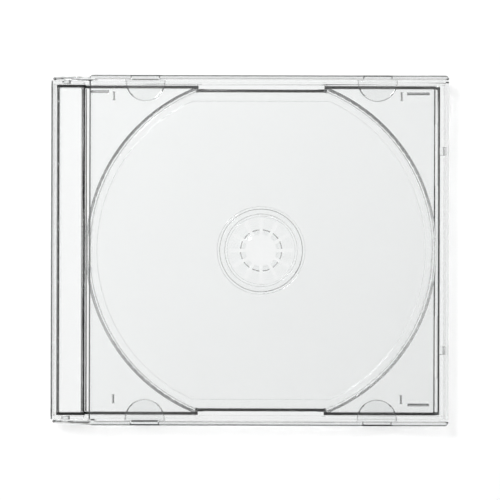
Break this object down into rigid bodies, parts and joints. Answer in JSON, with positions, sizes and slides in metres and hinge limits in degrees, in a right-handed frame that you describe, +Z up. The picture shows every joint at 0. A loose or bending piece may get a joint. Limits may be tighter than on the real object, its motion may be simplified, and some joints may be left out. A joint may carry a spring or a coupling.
{
  "type": "cd jewel case",
  "caption": "Clear hinged plastic case for a compact disc: a lid with booklet tabs, a rear cover with raised spines and a snap-in disc tray with a clawed hub.",
  "frame": {"origin": "centre of the closed case's footprint, on the surface that it lies on", "axes": "+X from the hinge edge to the opening edge, +Y along the hinge, +Z up from the rear cover to the front cover"},
  "size_m": [0.142, 0.125, 0.0104],
  "materials": {
    "clear_rear": "clear moulded polystyrene, polished",
    "clear_tray": "clear moulded polystyrene, polished",
    "clear_front": "clear moulded polystyrene, polished"
  },
  "bodies": {
    "case": {"rear_cover": "clear_rear", "disc_tray": "clear_tray"},
    "lid": {"front_cover": "clear_front"}
  },
  "joints": [
    {"name": "lid_hinge", "type": "hinge", "parent": "case", "child": "lid", "pos_m": [-0.0656, 0, 0.0052], "axis": [0, -1, 0], "range_deg": [0, 180]}
  ]
}
